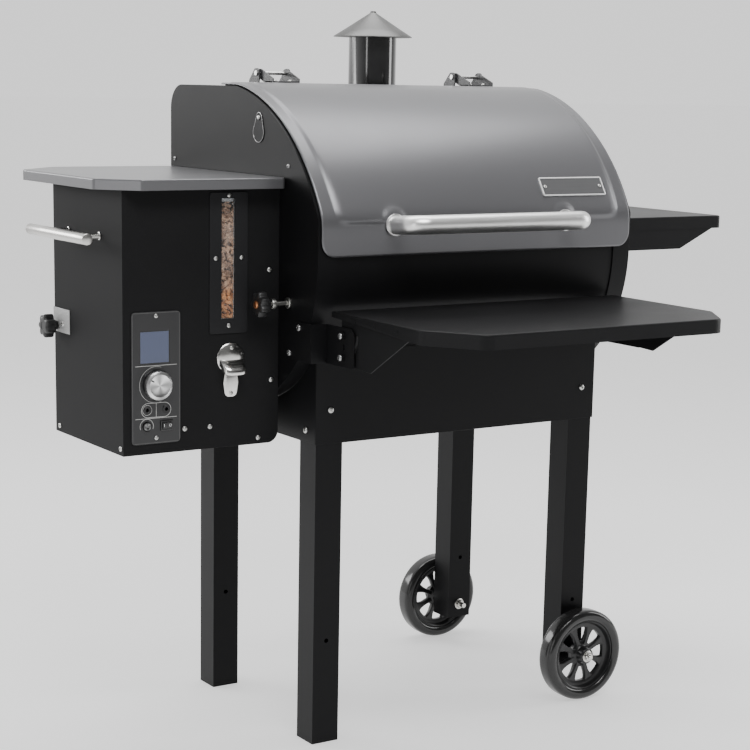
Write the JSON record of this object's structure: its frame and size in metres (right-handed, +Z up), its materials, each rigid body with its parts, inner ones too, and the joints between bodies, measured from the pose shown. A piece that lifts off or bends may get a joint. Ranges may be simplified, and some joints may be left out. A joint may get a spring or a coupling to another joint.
{
  "type": "pellet smoker grill",
  "caption": "Wheeled wood pellet smoker grill: barrel chamber with hinged lid, side pellet hopper with feed auger, folding front shelf, side shelf and chimney.",
  "frame": {"origin": "on the floor, under the middle of the whole object's plan rectangle", "axes": "+X along the barrel towards the wheels and side shelf, -Y towards the cook, +Z up"},
  "size_m": [1.3228, 1.026, 1.289],
  "materials": {
    "black_powder_coat": "fine textured powder coat",
    "lid_paint": "satin metallic paint",
    "brushed_steel": "brushed along the tube",
    "hopper_paint": "satin metallic paint",
    "shelf_paint": "hammered powder coat",
    "hinge_paint": "hammered paint",
    "rope_seal": "woven glass rope",
    "grate_enamel": "porcelain enamel",
    "bare_sheet": "bare rolled sheet",
    "motor_paint": "matt paint",
    "stainless": "polished rod",
    "gloss_enamel": "gloss enamel",
    "zinc_sheet": "zinc plated",
    "zinc_wire": "zinc plated wire",
    "clear_pane": "clear plastic",
    "panel_plate": "satin",
    "display_glass": "liquid crystal display",
    "opener_steel": "satin",
    "badge_aluminium": "satin",
    "button_steel": "satin",
    "hat_steel": "satin",
    "zinc_fastener": "zinc plated",
    "black_plastic": "moulded",
    "wheel_plastic": "moulded",
    "tyre_rubber": "smooth tread"
  },
  "bodies": {
    "frame": {"leg_front_left": "black_powder_coat", "leg_rear_left": "black_powder_coat", "leg_front_right": "black_powder_coat", "leg_rear_right": "black_powder_coat", "skirt_front": "black_powder_coat", "skirt_rear": "black_powder_coat", "skirt_left": "black_powder_coat", "skirt_right": "black_powder_coat", "barrel_shell": "black_powder_coat", "end_cap_left": "black_powder_coat", "end_cap_right": "black_powder_coat", "lid_hinge_base": "hinge_paint", "lid_gasket": "rope_seal", "cooking_grate": "grate_enamel", "warming_rack": "grate_enamel", "drip_tray": "bare_sheet", "fire_pot": "bare_sheet", "ash_cup": "bare_sheet", "auger_tube": "bare_sheet", "auger_motor": "motor_paint", "blower_case": "motor_paint", "temperature_probe": "stainless", "chimney_pipe": "gloss_enamel", "hopper_casing": "black_powder_coat", "hopper_bin": "zinc_sheet", "hopper_guard": "zinc_wire", "hopper_hinges": "black_powder_coat", "window_frame": "black_powder_coat", "window_pane": "clear_pane", "control_plate": "panel_plate", "display": "display_glass", "bottle_opener": "opener_steel", "hopper_handle": "black_powder_coat", "cleanout_door": "black_powder_coat", "shelf_arms": "black_powder_coat", "side_shelf_top": "shelf_paint", "side_shelf_brackets": "shelf_paint", "axles": "zinc_fastener", "panel_screws": "zinc_fastener", "power_inlet": "black_plastic"},
    "lid": {"lid_shell": "lid_paint", "lid_plate": "badge_aluminium", "lid_handle": "brushed_steel", "lid_hinge_ears": "hinge_paint"},
    "port_cover": {"port_cover": "black_powder_coat"},
    "auger": {"auger": "bare_sheet"},
    "blower_wheel": {"blower_wheel": "black_plastic"},
    "hopper_lid": {"hopper_lid": "hopper_paint"},
    "control_knob": {"control_knob": "black_plastic"},
    "power_button": {"power_button": "button_steel"},
    "flame_slide": {"flame_slide": "bare_sheet", "slide_knob": "black_plastic"},
    "cleanout_knob": {"cleanout_knob": "black_plastic"},
    "front_shelf": {"shelf_top": "shelf_paint", "shelf_gussets": "shelf_paint"},
    "chimney_hat": {"chimney_hat": "hat_steel"},
    "front_wheel": {"wheel_front": "wheel_plastic", "tyre_front": "tyre_rubber"},
    "rear_wheel": {"wheel_rear": "wheel_plastic", "tyre_rear": "tyre_rubber"}
  },
  "joints": [
    {"name": "lid_hinge", "type": "hinge", "parent": "frame", "child": "lid", "pos_m": [0.02138, 0.2, 1.162], "axis": [-1, 0, 0], "range_deg": [0, 95]},
    {"name": "port_cover_pivot", "type": "hinge", "parent": "frame", "child": "port_cover", "pos_m": [-0.31362, 0.036, 1.0865], "axis": [1, 0, 0], "range_deg": [-110, 110]},
    {"name": "auger_turn", "type": "hinge", "parent": "frame", "child": "auger", "pos_m": [-0.27863, 0.104, 0.64], "axis": [1, 0, 0], "continuous": true},
    {"name": "blower_turn", "type": "hinge", "parent": "frame", "child": "blower_wheel", "pos_m": [-0.41863, 0.27, 0.59], "axis": [0, 1, 0], "continuous": true},
    {"name": "hopper_lid_hinge", "type": "hinge", "parent": "frame", "child": "hopper_lid", "pos_m": [-0.42862, 0.351, 0.966], "axis": [-1, 0, 0], "range_deg": [0, 100]},
    {"name": "control_knob_turn", "type": "hinge", "parent": "frame", "child": "control_knob", "pos_m": [-0.54712, -0.05, 0.6518], "axis": [0, -1, 0], "continuous": true},
    {"name": "power_button_press", "type": "slide", "parent": "frame", "child": "power_button", "axis": [0, 1, 0], "range_m": [0, 0.002], "stiffness_N_per_m": 400, "springref_m": -0.001},
    {"name": "flame_slide_pull", "type": "slide", "parent": "frame", "child": "flame_slide", "axis": [-1, 0, 0], "range_m": [0, 0.11]},
    {"name": "cleanout_knob_turn", "type": "hinge", "parent": "frame", "child": "cleanout_knob", "pos_m": [-0.61862, 0.224, 0.724], "axis": [-1, 0, 0], "continuous": true},
    {"name": "shelf_fold", "type": "hinge", "parent": "frame", "child": "front_shelf", "pos_m": [0.02138, -0.2, 0.738], "axis": [1, 0, 0], "range_deg": [0, 90]},
    {"name": "chimney_hat_raise", "type": "slide", "parent": "frame", "child": "chimney_hat", "axis": [0, 0, 1], "range_m": [0, 0.03]},
    {"name": "front_wheel_spin", "type": "hinge", "parent": "frame", "child": "front_wheel", "pos_m": [0.29688, -0.14, 0.0875], "axis": [0, 1, 0], "continuous": true},
    {"name": "rear_wheel_spin", "type": "hinge", "parent": "frame", "child": "rear_wheel", "pos_m": [0.29688, 0.34, 0.0875], "axis": [0, 1, 0], "continuous": true}
  ]
}
